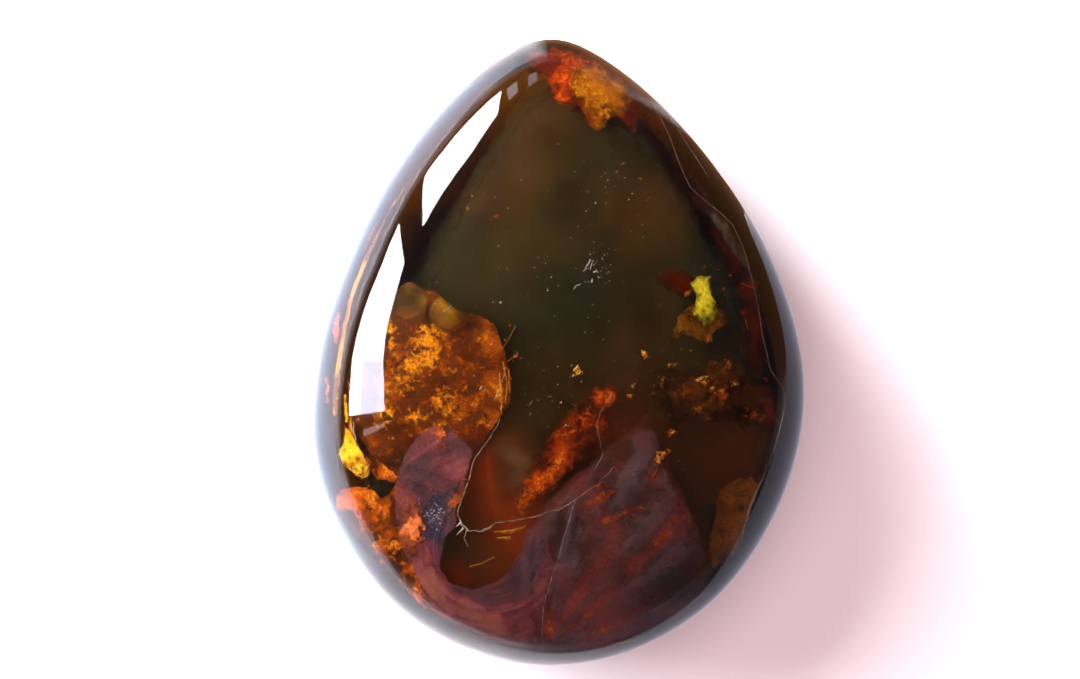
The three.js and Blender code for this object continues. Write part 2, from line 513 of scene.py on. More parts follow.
# Cloud deep in the body, which keeps the clear resin from being glass: smoky above and russet below
turbidCloud = dict(
    outlines=[
        [(0, 34), (9, 27.5), (17, 16.5), (23, 5), (25.5, -6), (24, -16), (17, -28), (5, -33.5),
         (-8, -32.5), (-17, -26), (-24, -14), (-22.5, -3), (-17.5, 8), (-12.5, 18), (-6.5, 28.5)]],
    cell=0.9, depth=5.0, thick=0.2, ragged=(1.0, 6.0), wave=(1.0, 8.0),
    tones=dict(
        glow=[
            (2, 22, 7, 0.15), (-2, 18, 7, 0.3), (11, 17, 8, 0.6), (0, 14, 7, 0.4), (11, 0, 8, 0.6),
            (18, -2, 6, 0.35), (-2, -5, 6, 0.4), (-7, -13, 4, 0.3), (-5, -10, -2, -16, 2.4, 0.6)],
        stain=[
            (-8, -14, -3, -22, 4.5, 0.95), (-4, -27, 6, 0.7), (7, -12, 6, 0.6), (19, -12, 7, 0.3),
            (12, -26, 7, 0.5), (0, 28, -8, 19, 4.0, 0.1), (-11.6, -26.4, 2.4, 1.0)]))
makeFilm("turbid_cloud", turbidCloud, cloudFinish(
    "cloudy resin", ("#425874", "#4A5768", "#6C686E"), "#B65E48", size=12.8, body=(0.8, 0.95), fade=4.0))

# Large rust flake at the left, with two smooth gold petals along its upper edge
emberFlake = dict(
    outlines=[
        [(-18.9, 7.3), (-17.2, 8.4), (-15.2, 7.5), (-13.6, 7.0), (-11.6, 5.1), (-9.1, 4.5), (-7.1, 3.4),
         (-5.9, 0.1), (-5.1, -3.0), (-5.3, -6.2), (-6.4, -7.8), (-8.1, -10.3), (-10.2, -13.0),
         (-12.0, -17.0), (-18.9, -14.6), (-22.2, -11.8), (-24.6, -8.2), (-24.6, -3.4), (-23.4, 1.3),
         (-21.5, 5.5)]],
    cell=0.3, depth=1.9, thick=0.1, ragged=(0.14, 0.8), wave=(0.3, 3.0),
    tones=dict(
        glow=[
            (-8.2, 0.5, 1.8, 0.4), (-11.7, -3.7, 1.5, 0.4), (-7.0, -4.0, 2.2, 0.75),
            (-7.0, -8.0, 1.5, 0.6), (-12.0, -6.5, 2.4, 0.5), (-15.5, 0.0, 3.0, 0.45),
            (-20.0, -4.0, 3.0, 0.35), (-8.0, 3.6, 1.2, 0.5)],
        spark=[
            (-15.2, 1.3, 1.5, 1.0), (-15.0, -0.6, 1.4, 1.0), (-16.7, -1.6, 1.2, 0.85),
            (-13.9, 2.4, 0.9, 0.95), (-19.6, 2.8, 0.9, 0.95), (-19.1, 0.9, 0.8, 0.7),
            (-19.8, -4.6, 1.0, 0.6), (-19.6, -7.0, 1.0, 0.75), (-13.3, -5.4, 1.3, 0.65),
            (-12.8, -7.0, 1.0, 0.6), (-16.4, -7.6, 1.2, 0.6), (-12.2, -2.2, 0.6, 0.5),
            (-18.3, 4.2, 0.6, 0.45), (-7.0, -5.0, 1.5, 0.5), (-8.6, 1.4, 1.2, 0.35),
            (-10.6, -5.4, 2.8, 0.2), (-17.6, -3.4, 2.2, 0.35), (-19.0, -8.8, 1.8, 0.3),
            (-14.6, -9.4, 1.8, 0.4), (-7.6, -8.2, 1.0, 0.5)],
        stain=[
            (-9.2, -9.6, 1.6, 0.6), (-11.5, -0.8, 1.6, 0.3), (-18.2, -9.8, 1.3, 0.3),
            (-12.4, 2.8, 1.4, 0.3)]))
makeFilm("ember_flake", emberFlake, crustFinish(
    "oxidised resin flake", ("#3E1C05", "#7A3807", "#C06208"), ("#D87A04", "#FFC818"),
    clot=0.9, stain="#581004", body=0.95, fade=0.25, mottle=1.3))
goldPetals = dict(
    outlines=[
        [(-20.0, 5.6), (-18.2, 8.1), (-17.2, 8.4), (-15.4, 7.5), (-14.6, 6.0), (-15.4, 3.4), (-17.6, 2.8),
         (-19.8, 3.6)],
        [(-15.3, 4.7), (-14.6, 6.0), (-13.6, 6.9), (-12.5, 5.8), (-11.0, 4.6), (-9.4, 4.3), (-10.6, 2.6),
         (-12.6, 1.6), (-14.6, 2.4)]],
    cell=0.2, depth=1.4, thick=0.06, ragged=(0.06, 1.2), wave=(0.15, 2.0),
    tones=dict(
        glow=[(-17.6, 8.2, 1.4, 0.5), (-14.6, 6.0, -12.4, 5.4, 1.4, 0.9), (-12.8, 4.0, 1.4, 0.5)],
        stain=[
            (-20.0, 3.0, -15.0, 3.2, 1.5, 0.9), (-14.8, 1.8, -10.2, 2.6, 1.3, 0.9),
            (-9.6, 4.2, 1.2, 0.8)]))
makeFilm("gold_petals", goldPetals, cloudFinish(
    "clear yellow resin petal", ("#2E1C05", "#4C3408", "#A4780E"), "#6A3208",
    size=5.0, body=(0.85, 0.96), fade=1.1))

# Shoal of orange crust along the lower left, part of it under the violet veil
emberShoal = dict(
    outlines=[
        [(-25.8, -15.4), (-22.0, -15.4), (-20.0, -16.8), (-18.6, -14.6), (-17.0, -15.2), (-15.4, -17.2),
         (-15.0, -22.0), (-13.5, -25.5), (-10.0, -29.5), (-4.0, -31.0), (-2.4, -34.6), (-9.0, -33.4),
         (-15.6, -30.2), (-19.6, -26.4), (-23.4, -22.0), (-26.2, -18.6)],
        [(-23.6, -10.4), (-21.4, -11.8), (-19.0, -12.8), (-17.8, -14.9), (-19.4, -15.8), (-21.4, -15.0),
         (-23.0, -12.6)]],
    cell=0.28, depth=2.0, thick=0.1, ragged=(0.35, 0.9), wave=(0.3, 2.0),
    tones=dict(
        glow=[
            (-21.5, -20.4, 2.4, 0.2), (-19.5, -23.0, 1.6, 0.45), (-8.0, -31.5, 3.5, 0.7),
            (-17.0, -25.0, 2.0, 0.4), (-22.4, -16.8, 2.0, 0.75), (-20.3, -18.2, 1.5, 0.7),
            (-19.8, -14.0, 1.4, 0.5), (-17.1, -18.0, -16.7, -22.4, 1.8, 1.0), (-12.0, -29.6, 2.5, 0.6),
            (-25.2, -17.8, 1.2, 0.9), (-16.4, -28.2, 1.0, 0.9)],
        spark=[
            (-21.9, -17.0, 1.5, 0.75), (-19.7, -14.2, 1.2, 0.75), (-20.3, -18.4, 0.9, 0.6),
            (-21.6, -13.0, 0.9, 0.5), (-18.9, -22.6, 1.1, 0.7), (-16.2, -27.8, 0.9, 0.85),
            (-20.8, -22.6, 1.0, 0.5), (-15.6, -24.6, 0.7, 0.7), (-3.6, -33.0, 0.8, 0.6),
            (-6.0, -30.6, 0.8, 0.4)],
        stain=[(-18.8, -19.6, 0.9, 0.4), (-19.5, -26.0, 1.4, 0.7), (-16.8, -16.2, 0.8, 0.5)]))
makeFilm("ember_shoal", emberShoal, crustFinish(
    "orange resin crust", ("#281204", "#743608", "#E8700A"), ("#DA600A", "#FFB838"),
    clot=1.1, stain="#1A0C04", body=0.95, fade=0.6, mottle=1.8))
# Embers that lie over the violet veil
veilEmber = dict(
    outlines=[
        [(-16.9, -16.4), (-16.1, -18.0), (-15.3, -19.4), (-15.4, -21.4), (-16.2, -23.0), (-16.6, -25.2),
         (-17.8, -23.6), (-18.7, -21.8), (-18.2, -19.6), (-17.5, -18.0)],
        [(-14.8, -8.4), (-13.4, -8.2), (-12.8, -9.8), (-13.4, -12.0), (-14.3, -10.8)],
        [(-10.9, -14.2), (-10.3, -15.2), (-11.1, -17.4), (-11.6, -19.4), (-12.7, -18.2), (-12.0, -16.0)],
        [(-17.6, -26.8), (-15.8, -27.6), (-14.8, -29.6), (-16.6, -29.4)]],
    cell=0.14, depth=0.6, thick=0.05, ragged=(1.0, 0.6), wave=(0.1, 1.0),
    tones=dict(
        glow=[(-17.0, -20.4, 1.6, 0.7), (-14.0, -9.6, 0.9, 0.3), (-11.4, -16.6, 1.2, 0.2)],
        spark=[(-17.0, -20.6, 1.5, 0.75), (-14.0, -9.4, 0.7, 0.4), (-16.4, -28.2, 0.7, 0.6)]))
makeFilm("veil_ember", veilEmber, crustFinish(
    "salmon resin crust", ("#4E2214", "#A0481E", "#E87838"), ("#F07430", "#FFB07A"),
    clot=0.8, body=0.85, fade=0.6, mottle=1.2))

# Yellow, pitted crust at the left edge
leftCrust = dict(
    outlines=[
        [(-25.1, -8.5), (-24.2, -9.1), (-23.3, -10.9), (-21.7, -13.3), (-21.8, -14.5), (-22.9, -15.2),
         (-25.1, -13.7), (-26.1, -12.1), (-25.2, -10.7)],
        [(-25.3, -4.8), (-24.6, -5.0), (-24.3, -8.4), (-25.0, -8.6)]],
    cell=0.16, depth=0.7, thick=0.1, ragged=(0.2, 0.5), wave=(0.2, 1.2),
    tones=dict(
        glow=[(-24.2, -11.6, 1.6, 0.9), (-24.8, -7.0, 1.5, 0.5)],
        spark=[(-24.4, -11.8, 1.0, 0.9), (-25.3, -12.2, 0.7, 0.9), (-23.2, -13.8, 0.8, 0.7)],
        stain=[
            (-23.4, -12.6, 0.35, 0.9), (-22.8, -13.6, 0.3, 0.9), (-24.0, -13.2, 0.3, 0.6),
            (-25.0, -11.6, 0.2, 0.7), (-24.4, -12.5, 0.2, 0.8), (-24.9, -13.1, 0.2, 0.7),
            (-23.6, -13.8, 0.2, 0.8), (-24.3, -10.6, 0.2, 0.6)]))
makeFilm("left_crust", leftCrust, crustFinish(
    "sulphur yellow crust", ("#7A4806", "#E09A0A", "#FFC410"), ("#FFBC0C", "#FFEC50"),
    clot=0.7, stain="#2A1804", crumbly=0.05, body=0.95, fade=0.3))

# Orange band that runs down inside the left shoulder: painted light, the lit floor under the left overhang
# seen through the rim
shoulderRimLight = dict(
    outlines=[
        [(-16.2, 21.3), (-19.4, 16.6), (-22.3, 10.3), (-23.9, 6.1), (-24.8, 1.9), (-25.5, -3.0),
         (-25.8, -7.4), (-26.5, -8.4), (-26.7, -5.0), (-26.2, -1.0), (-25.5, 2.9), (-24.5, 7.0),
         (-23.0, 11.0), (-20.0, 16.9), (-16.8, 21.5)]],
    cell=0.16, depth=0.5, thick=0.06, ragged=(0.12, 0.6), wave=(0.1, 2.0),
    tones=dict(
        glow=[(-22.8, 9.7, -25.8, -2.0, 0.9, 0.9)]))
makeFilm("shoulder_rim_light", shoulderRimLight, crustFinish(
    "orange band of painted rim light", ("#5A300A", "#A8661C", "#D89440"), ("#A8661C", "#D89440"),
    clot=1.5, crumbly=-0.4, body=0.9, fade=0.3, mottle=1.6))

# Rose mottles at the left rim: painted light, the warm glow of the floor seen through the rim
rimLightMottles = dict(
    outlines=[
        [(-26.2, 5.6), (-25.4, 4.6), (-25.6, 1.2), (-26.4, 0.2), (-26.9, 2.2)],
        [(-27.2, -2.2), (-26.6, -3.6), (-27.0, -7.0), (-27.7, -6.0), (-27.7, -3.6)],
        [(-23.4, 11.2), (-22.6, 11.6), (-20.6, 15.6), (-21.2, 15.8), (-23.0, 12.8)]],
    cell=0.2, depth=0.4, thick=0.05, ragged=(0.4, 0.7), wave=(0.1, 1.0),
    tones=dict(
        glow=[(-26.2, 2.8, 1.2, 0.4), (-27.2, -5.0, 1.2, 0.3)]))
makeFilm("rim_light_mottles", rimLightMottles, crustFinish(
    "rose mottle of painted rim light", ("#8A3018", "#C85034", "#F08060"), ("#C85034", "#F08060"),
    clot=0.7, crumbly=-0.4, body=0.5, fade=0.6, mottle=2.0))

# Red and gold crust under the point
tipRed = dict(
    outlines=[
        [(-4.4, 33.9), (-3.0, 35.1), (0.0, 35.7), (3.4, 35.0), (6.8, 32.8), (9.6, 29.8), (9.8, 27.4),
         (8.9, 25.2), (7.8, 26.0), (6.4, 27.4), (4.7, 25.9), (3.4, 25.6), (2.4, 27.6), (0.3, 28.2),
         (-0.9, 29.9), (-1.9, 32.0), (-3.4, 31.6)]],
    cell=0.2, depth=2.0, thick=0.1, ragged=(0.5, 0.8), wave=(0.2, 1.5),
    tones=dict(
        glow=[(0.6, 31.2, 1.8, 0.9), (3.2, 27.2, 1.0, 0.6), (1.6, 34.4, 2.4, 0.4), (8.4, 27.0, 1.4, 0.3)],
        spark=[
            (1.0, 31.8, 1.3, 0.8), (0.2, 29.9, 0.9, 0.7), (3.0, 27.0, 0.8, 0.4), (1.8, 33.6, 1.6, 0.45)],
        stain=[
            (-2.6, 32.4, 1.2, 0.7), (-1.0, 33.8, 0.8, 0.5), (6.6, 33.0, 1.6, 0.5),
            (8.8, 27.4, 1.6, 0.45)]))
makeFilm("tip_red", tipRed, crustFinish(
    "red resin crust", ("#2E0C04", "#7A2008", "#C04410"), ("#C04008", "#FF7A20"),
    clot=1.0, stain="#200A04", fade=1.2, mottle=1.8))
tipGold = dict(
    outlines=[
        [(1.3, 33.2), (4.3, 34.4), (6.5, 32.6), (8.6, 31.2), (9.0, 29.0), (7.6, 27.2), (6.2, 27.2),
         (5.0, 25.2), (3.6, 25.8), (2.2, 28.8), (0.9, 30.9)]],
    cell=0.2, depth=1.5, thick=0.1, ragged=(0.4, 0.8), wave=(0.2, 1.5),
    tones=dict(
        glow=[(4.4, 30.4, 2.8, 0.9)],
        spark=[
            (2.9, 31.0, 1.2, 0.9), (4.8, 29.6, 1.2, 0.8), (5.4, 27.8, 0.9, 0.9), (5.8, 31.4, 1.0, 0.5)]))
makeFilm("tip_gold", tipGold, crustFinish(
    "golden resin crust", ("#5A2A06", "#985408", "#DC860A"), ("#C87408", "#FFC020"),
    clot=0.9, fade=1.3, mottle=1.5))

# Yellow grain with a tan cloud round it, and dark red clouds at the right
sulphurGrain = dict(
    outlines=[
        [(15.2, 7.8), (15.9, 9.0), (17.8, 9.0), (18.0, 7.0), (18.9, 4.9), (18.3, 3.1), (16.8, 2.8),
         (15.3, 4.5), (15.9, 6.4)]],
    cell=0.16, depth=0.5, thick=0.1, ragged=(0.25, 0.5), wave=(0.15, 1.2),
    tones=dict(
        glow=[(16.6, 7.2, 1.5, 1.0), (16.9, 5.2, 1.2, 0.8)],
        spark=[(16.6, 7.6, 1.0, 1.0), (16.7, 6.0, 0.8, 0.8)],
        stain=[
            (16.5, 6.6, 0.2, 0.9), (16.9, 4.7, 0.3, 0.9), (17.4, 5.3, 0.2, 0.7), (17.8, 3.8, 0.6, 0.4)]))
makeFilm("sulphur_grain", sulphurGrain, crustFinish(
    "sulphur yellow grain", ("#4A460A", "#A09814", "#FFE820"), ("#D8CC10", "#FFFF50"),
    clot=0.6, stain="#1E1806", crumbly=0.05, body=0.95, fade=1.0, mottle=1.6))
tanCloud = dict(
    outlines=[
        [(15.6, 6.0), (13.6, 4.4), (12.4, 0.8), (13.2, 0.5), (14.6, 2.0), (16.1, 0.8), (17.6, 0.6),
         (18.2, 2.2), (20.2, 2.8), (18.8, 6.2)]],
    cell=0.22, depth=2.2, thick=0.1, ragged=(0.4, 0.7), wave=(0.3, 1.5),
    tones=dict(
        glow=[(15.2, 3.2, 2.2, 0.6)],
        spark=[(17.4, 1.4, 0.9, 0.7), (19.0, 2.6, 0.8, 0.5)]))
makeFilm("tan_cloud", tanCloud, crustFinish(
    "tan resin cloud", ("#3A2408", "#6E4812", "#A0701C"), ("#A85E10", "#E0942A"),
    clot=1.0, fade=0.8, mottle=1.6))
redClouds = dict(
    outlines=[
        [(10.6, 8.4), (12.2, 9.8), (14.6, 9.8), (16.0, 8.2), (15.0, 6.0), (12.4, 6.2)],
        [(20.4, 5.6), (22.4, 7.5), (23.4, 4.9), (24.3, -2.2), (23.7, -3.6), (21.6, -3.2), (20.8, 0.1)],
        [(7.5, 33.0), (12.0, 27.5), (16.5, 19.5), (20.5, 13.5), (23.0, 8.0), (24.2, 2.0), (22.6, 1.0),
         (20.2, 6.5), (17.6, 12.0), (14.5, 18.0), (10.5, 25.5), (7.0, 30.5)],
        [(16.0, -3.0), (18.5, -3.4), (21.0, -3.2), (24.5, -4.0), (25.5, -7.0), (24.5, -11.0),
         (22.5, -8.0), (18.5, -6.4)]],
    cell=0.28, depth=3.2, thick=0.1, ragged=(0.4, 0.9), wave=(0.3, 2.0),
    tones=dict(
        glow=[
            (14.2, 7.4, 1.4, 0.4), (22.5, 2.0, 1.8, 0.25), (11.0, 26.0, 3.0, 0.2), (19.0, -4.8, 1.4, 0.8),
            (24.6, -7.0, 1.6, 0.7), (25.0, -4.4, 1.4, 1.0), (19.0, 14.0, 22.0, 8.0, 2.0, 0.2)],
        spark=[(22.0, 5.4, 0.3, 0.6)]))
makeFilm("red_clouds", redClouds, crustFinish(
    "dark red resin cloud", ("#2A0E06", "#5A200C", "#9A340C"), ("#7A260A", "#C8521E"),
    clot=2.0, body=0.8, fade=1.6))

# Ember streak through the heart of the stone
heartEmber = dict(
    outlines=[
        [(7.0, -3.2), (4.0, -4.0), (1.2, -6.6), (-1.0, -8.8), (-2.4, -11.4), (-4.6, -14.7), (-5.6, -19.2),
         (-3.8, -19.0), (-0.2, -15.6), (2.4, -13.4), (5.4, -10.8), (6.9, -9.2), (6.0, -6.8),
         (7.6, -5.4)]],
    cell=0.2, depth=2.4, thick=0.1, ragged=(0.6, 0.9), wave=(0.4, 1.5),
    tones=dict(
        glow=[
            (0.2, -11.8, 2.2, 0.7), (-2.6, -15.4, 1.8, 0.8), (-0.4, -14.9, 1.4, 1.0),
            (3.0, -8.0, 2.4, 0.4), (-0.4, -9.6, 1.2, 0.5), (5.2, -5.4, 1.6, 0.9)],
        spark=[
            (-4.4, -18.0, 0.2, -12.6, 0.7, 0.9), (-0.6, -14.9, 0.7, 0.7), (5.6, -5.2, 0.8, 0.6),
            (1.0, -9.4, 3.4, -7.0, 0.7, 0.45), (4.6, -9.2, 0.6, 0.5)],
        stain=[(2.2, -10.2, 0.7, 0.6), (3.6, -9.4, 0.5, 0.5)]))
makeFilm("heart_ember", heartEmber, crustFinish(
    "ember red resin", ("#280A03", "#641E02", "#D05408"), ("#C84E06", "#FF9630"),
    clot=0.8, stain="#1A0C04", body=0.95, fade=1.7, mottle=1.4))
# Smoke between the hollow and the ember
smoke = dict(
    outlines=[
        [(-8.4, -9.6), (-5.6, -9.6), (-2.6, -11.2), (-1.6, -13.4), (-3.6, -17.0), (-6.2, -19.2),
         (-8.4, -17.6), (-8.6, -13.6)],
        [(8.4, 0.6), (5.6, -3.0), (4.2, -6.0), (5.2, -6.4), (8.4, -3.2), (10.6, -0.4)]],
    cell=0.3, depth=2.4, thick=0.05, ragged=(0.4, 2.0), wave=(0.3, 3.0),
    tones=dict(
        glow=[(-7.6, -10.6, -3.0, -12.6, 1.4, 0.9), (-4.4, -15.4, 1.4, 0.6)],
        stain=[(-6.6, -17.6, 2.4, 0.8)]))
makeFilm("smoke", smoke, cloudFinish(
    "smoky resin", ("#1E1612", "#4A3A34", "#765F54"), "#5A2214", size=4.0, body=(0.25, 0.5), fade=2.6))

# Wine red bed under the folds at the lower right, with fiery streaks
wineBed = dict(
    outlines=[
        [(10.6, -7.0), (6.0, -10.6), (1.5, -14.2), (-1.6, -17.2), (-3.4, -21.0), (-5.0, -24.5),
         (-5.8, -28.0), (-2.4, -34.8), (3.4, -35.2), (8.2, -34.0), (13.0, -31.0), (16.6, -28.0),
         (16.9, -21.5), (14.9, -16.6)]],
    cell=0.3, depth=2.9, thick=0.1, ragged=(0.3, 1.5), wave=(0.3, 3.0),
    tones=dict(
        glow=[
            (4.5, -30.0, 5.5, 0.8), (12.0, -20.5, 3.0, 0.7), (-0.5, -32.0, 1.5, 0.7),
            (3.0, -17.0, 2.0, 0.8), (11.2, -14.2, 1.2, 0.9), (6.0, -24.0, 4.0, 0.6),
            (11.0, -25.0, 3.0, 0.4)],
        spark=[
            (3.4, -17.8, 6.2, -16.2, 0.55, 1.0), (5.2, -19.6, 9.8, -17.8, 0.35, 0.7),
            (11.2, -22.4, 14.0, -18.6, 0.45, 0.6), (14.4, -22.2, 15.6, -20.8, 0.6, 0.6),
            (3.0, -30.6, 6.2, -28.4, 0.4, 0.6), (3.6, -33.2, 5.4, -31.8, 0.6, 0.8),
            (-1.0, -33.0, 2.2, -31.4, 0.35, 0.5), (-0.5, -28.8, -1.2, -33.0, 0.4, 0.8),
            (-0.4, -17.9, 4.6, -15.4, 0.35, 0.8), (8.0, -28.4, 9.0, -27.2, 0.5, 0.4),
            (0.5, -25.6, 1.6, -25.0, 0.4, 0.3)],
        stain=[(11.5, -11.0, 3.0, 0.6), (14.0, -28.0, 3.0, 0.5), (2.0, -22.5, 2.6, 0.45)]))
makeFilm("wine_bed", wineBed, crustFinish(
    "wine red resin", ("#3C1E30", "#945070", "#CC749A"), ("#CC4A14", "#FF8E40"),
    clot=1.6, stain="#181018", crumbly=-0.02, body=0.92, fade=2.4))

# Violet veil that swirls round a clear hollow, and smoky folds that fan out to its right: both painted
# reflection, the purple sheen and folds that the polish shows, laid in the resin as films
violetReflectionVeil = dict(
    outlines=[
        [(-14.4, -8.1), (-16.5, -9.6), (-17.9, -11.6), (-19.0, -14.2), (-19.3, -17.0), (-19.1, -20.1),
         (-18.3, -23.3), (-16.9, -26.1), (-15.6, -29.7), (-13.4, -31.5), (-9.8, -33.4), (-6.2, -34.8),
         (-1.6, -35.4), (-1.0, -30.7), (0.2, -25.7), (-1.4, -19.6), (-3.8, -20.3), (-4.5, -22.6),
         (-5.8, -25.0), (-7.2, -26.4), (-10.0, -27.4), (-12.4, -26.6), (-13.4, -25.0), (-12.8, -21.7),
         (-11.4, -20.2), (-11.5, -18.5), (-10.7, -16.4), (-10.1, -13.8), (-9.5, -11.4), (-12.0, -8.9)]],
    cell=0.28, depth=1.1, thick=0.05, ragged=(0.05, 1.5), wave=(0.12, 3.0),
    flow=dict(
        pole=(-8.1, -22.6), seam=60.0, arc=11.0, round=True, foldWidth=3.2, foldLength=16.0,
        foldHeight=0.4),
    tones=dict(
        warm=[
            (-9.0, -31.6, 4.5, 0.7), (-14.6, -27.8, 3.0, 0.7), (-17.4, -12.4, 1.4, 0.6),
            (-11.0, -15.4, 0.8, 0.4), (-18.9, -15.0, 0.6, 0.6), (-14.6, -9.4, 1.4, 0.4),
            (-11.2, -12.0, 2.2, 0.4), (-4.0, -33.0, 2.0, 0.5)],
        cool=[
            (-14.0, -18.2, -14.2, -21.4, 1.4, 1.3), (-15.6, -13.4, 2.0, 0.45), (-8.2, -28.8, 1.1, 0.7),
            (-6.2, -26.6, -3.4, -22.4, 1.3, 0.5), (-2.6, -24.0, 2.2, 0.6), (-6.0, -31.6, 0.9, 0.5)],
        clear=[
            (-17.0, -19.2, 1.0, 0.5), (-16.9, -21.6, 1.0, 0.5), (-15.8, -15.6, 1.2, 0.35),
            (-14.0, -13.0, 1.4, 0.25), (-1.4, -35.0, -0.4, -22.0, 1.4, 0.7), (-16.4, -28.6, 0.9, 0.5)]))
makeFilm("violet_reflection_veil", violetReflectionVeil, reflectionVeilFinish(
    "violet film of painted reflection", ("#403E74", "#6A5064", "#883C5C", "#B06C6A"),
    strandWidth=0.5, strandLength=14.0, streaky=1.3, folded=0.5, body=(0.18, 0.54), fade=0.6))
smokyReflectionFolds = dict(
    outlines=[
        [(11.6, -6.2), (8.4, -8.8), (3.6, -12.5), (-0.6, -16.1), (-2.4, -18.0), (-3.7, -22.1),
         (-5.0, -24.5), (-6.8, -26.2), (-4.5, -28.6), (-2.0, -30.3), (-2.0, -35.3), (3.4, -35.5),
         (8.2, -34.3), (16.0, -30.8), (18.8, -28.0), (17.8, -21.5), (14.9, -16.6), (13.0, -12.0),
         (12.6, -9.0)]],
    cell=0.28, depth=2.0, thick=0.05, ragged=(0.1, 1.5), wave=(0.15, 3.0),
    flow=dict(
        pole=(-3.3, -36.6), seam=-90.0, arc=15.0, round=False, foldWidth=2.0, foldLength=18.0,
        foldHeight=0.7),
    tones=dict(
        warm=[
            (-2.1, -19.4, 3.0, -14.2, 0.9, 0.9), (3.0, -14.2, 9.0, -8.6, 0.5, 0.9),
            (4.0, -31.5, 4.5, 0.3), (10.4, -10.8, 6.4, -18.0, 0.5, 0.55),
            (6.3, -14.2, 3.6, -18.6, 0.35, 0.55), (2.4, -17.4, -3.6, -23.6, 0.5, 0.45),
            (14.0, -27.0, 3.2, 0.4)],
        cool=[
            (10.4, -10.8, 6.4, -18.0, 0.8, 0.7), (5.4, -14.6, -0.6, -22.6, 0.8, 0.45),
            (12.0, -13.0, 3.0, 0.5), (-1.0, -23.0, 2.6, 0.4), (14.0, -27.0, 4.0, 1.4)],
        clear=[
            (5.0, -31.0, 3.6, 0.6), (12.6, -21.0, 1.6, 0.4), (-0.6, -31.0, 1.0, 0.6),
            (8.4, -11.4, 4.2, -16.4, 0.8, 0.8), (12.0, -12.0, 8.4, -18.8, 0.9, 0.6),
            (11.2, -8.6, 1.6, 0.9), (3.0, -18.2, 6.4, -16.2, 0.7, 0.8),
            (12.8, -9.0, 15.4, -17.0, 2.2, 0.9), (16.4, -17.0, 18.4, -24.0, 1.4, 0.8),
            (12.2, -8.4, 2.4, 0.95), (5.4, -18.6, 2.6, -22.6, 0.6, 0.5), (11.4, -16.4, 1.6, 0.5)]))
makeFilm("smoky_reflection_folds", smokyReflectionFolds, reflectionVeilFinish(
    "smoky wine film of painted reflection", ("#4A4E70", "#544E72", "#746890", "#84405E"),
    strandWidth=0.6, strandLength=20.0, streaky=0.6, folded=1.0, body=(0.06, 0.55), fade=2.0))

# Tan patch at the lower right, and a grey film beside the long crack at the right
tanPatch = dict(
    outlines=[
        [(18.0, -16.0), (20.3, -14.6), (22.4, -14.1), (23.5, -15.3), (22.3, -18.8), (20.4, -23.9),
         (17.8, -25.4), (16.9, -23.3), (17.9, -18.8)]],
    cell=0.22, depth=2.4, thick=0.1, ragged=(0.3, 1.0), wave=(0.2, 2.0),
    tones=dict(
        glow=[(20.0, -19.0, 4.0, 0.3)],
        stain=[
            (21.1, -18.2, 0.5, 0.7), (18.7, -20.7, 0.35, 0.8), (19.3, -24.2, 0.6, 0.6),
            (18.5, -17.4, 0.4, 0.4)]))
makeFilm("tan_patch", tanPatch, crustFinish(
    "tan resin clay", ("#5A3818", "#A06A28", "#C08636"), ("#A06A28", "#C08636"),
    clot=2.0, stain="#14100C", crumbly=-0.3, body=0.9, fade=0.5))
brownCloud = dict(
    outlines=[
        [(9.6, -2.4), (13.0, -1.2), (16.0, -1.8), (19.0, -0.3), (22.0, -2.3), (25.0, -4.3), (24.6, -9.0),
         (22.0, -9.6), (19.0, -8.6), (16.0, -9.4), (12.6, -9.0), (10.6, -6.2)]],
    cell=0.25, depth=2.4, thick=0.1, ragged=(0.9, 1.4), wave=(0.4, 2.0),
    tones=dict(
        glow=[(17.6, -4.4, 2.2, 0.5), (22.0, -5.0, 2.0, 0.4)],
        spark=[
            (16.8, -3.2, 0.7, 0.8), (18.7, -4.8, 1.2, 0.75), (20.4, -3.8, 0.6, 0.8),
            (14.2, -5.0, 1.4, 0.5), (22.6, -7.6, 0.8, 0.7), (16.1, -6.8, 0.6, 0.7),
            (19.8, -1.6, 0.7, 0.6), (12.4, -3.4, 0.9, 0.4), (17.0, -8.4, 1.0, 0.35)]))
makeFilm("brown_cloud", brownCloud, crustFinish(
    "brown resin cloud", ("#1E1006", "#4A2A0A", "#7A4A12"), ("#8A4A10", "#D08A28"),
    clot=0.9, body=0.75, fade=2.0, mottle=2.0))
# Grey film beside the long crack: a painted reflection of the surroundings in a shallow dent of the polish
ridgeDentReflection = dict(
    outlines=[
        [(15.8, 18.6), (18.5, 16.7), (19.9, 15.2), (20.9, 13.3), (22.1, 10.7), (22.9, 8.1), (22.2, 8.0),
         (20.6, 10.6), (19.2, 13.0), (17.6, 15.4), (15.9, 17.6)]],
    cell=0.2, depth=1.1, thick=0.05, ragged=(0.35, 0.6), wave=(0.3, 1.0),
    tones=dict(
        glow=[(19.0, 13.5, 2.0, 0.4)],
        spark=[(21.8, 8.2, 0.5, 0.5)]))
makeFilm("ridge_dent_reflection", ridgeDentReflection, crustFinish(
    "grey painted reflection in a dent", ("#2A2822", "#58544A", "#847C6C"), ("#7A6450", "#A88A66"),
    clot=0.8, crumbly=-0.1, body=0.6, fade=0.6, mottle=2.0))

